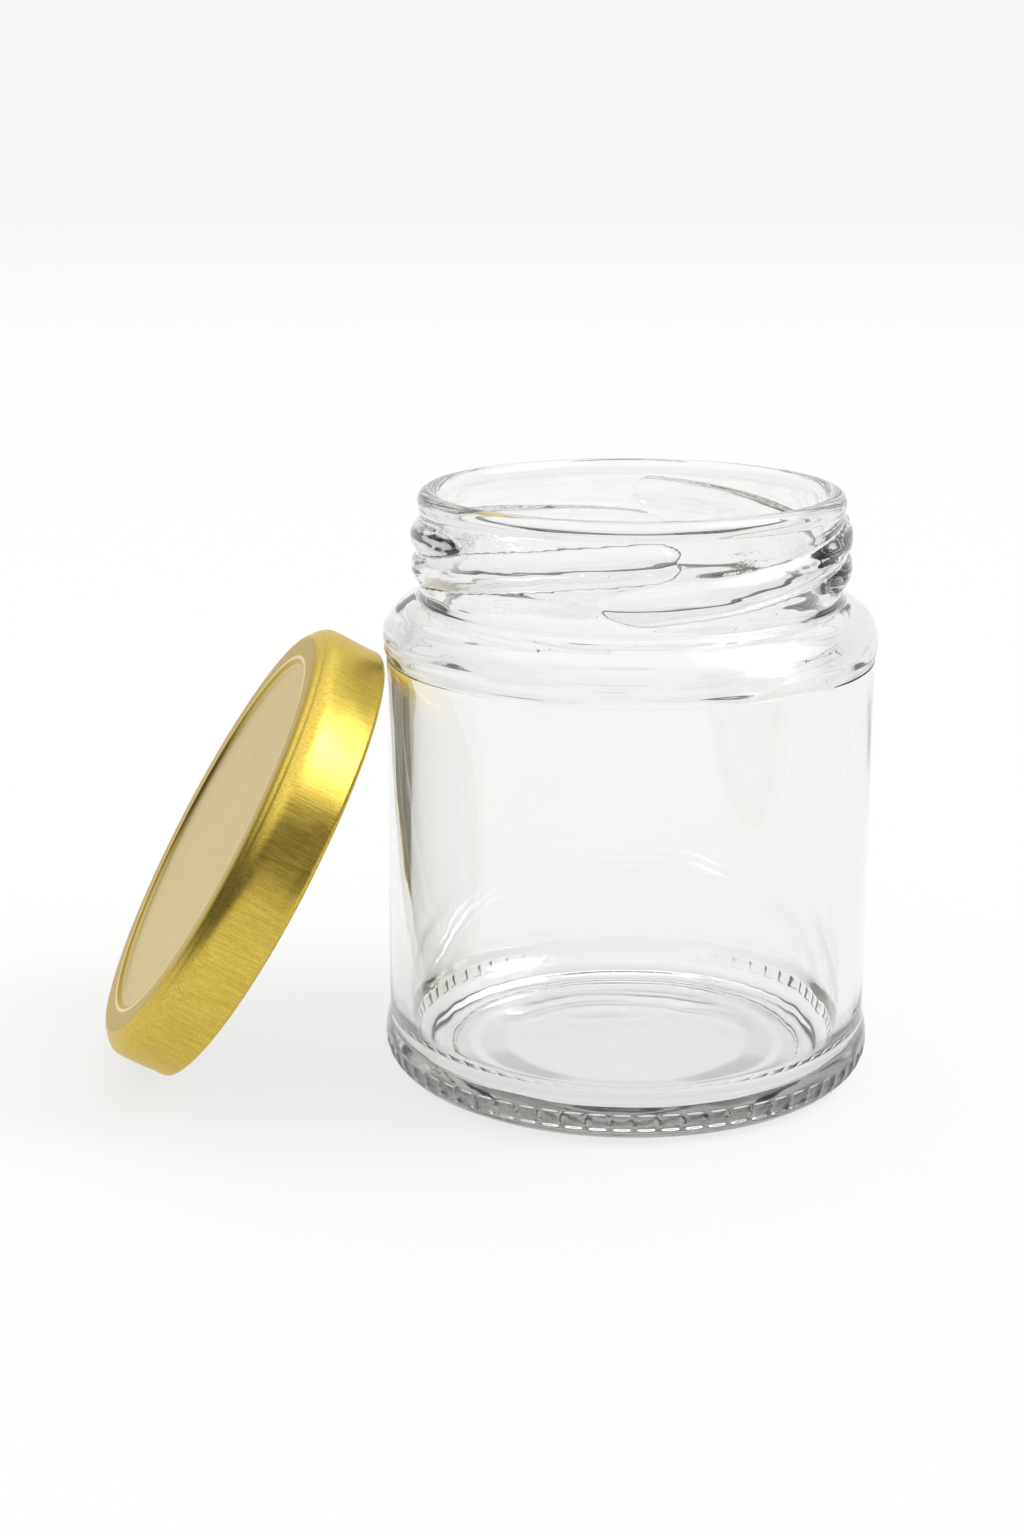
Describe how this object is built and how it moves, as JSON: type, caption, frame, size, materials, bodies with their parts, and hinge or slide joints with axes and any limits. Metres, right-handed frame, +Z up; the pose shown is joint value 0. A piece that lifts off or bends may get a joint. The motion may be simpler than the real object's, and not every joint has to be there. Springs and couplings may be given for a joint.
{
  "type": "jar",
  "caption": "Straight-sided clear glass food jar with a twist-off thread finish, and its gold lug cap leaning against its side.",
  "frame": {"origin": "centre of the jar's bearing ring, on the surface that the jar stands on", "axes": "+Z up along the jar's axis; the cap leans against the -X side of the jar with its open side towards the jar"},
  "size_m": [0.1177, 0.0809, 0.089],
  "materials": {
    "clear_glass": "polished",
    "gold_tinplate": "satin",
    "sealing_compound": "matte"
  },
  "bodies": {
    "jar": {"jar_glass": "clear_glass"},
    "lid": {"lid_shell": "gold_tinplate", "lid_seal": "sealing_compound"}
  },
  "joints": [
    {"name": "lid_tip", "type": "hinge", "parent": "jar", "child": "lid", "pos_m": [-0.07869, 0.0075, 0.00334], "axis": [0, -1, 0], "range_deg": [0, 120]}
  ]
}
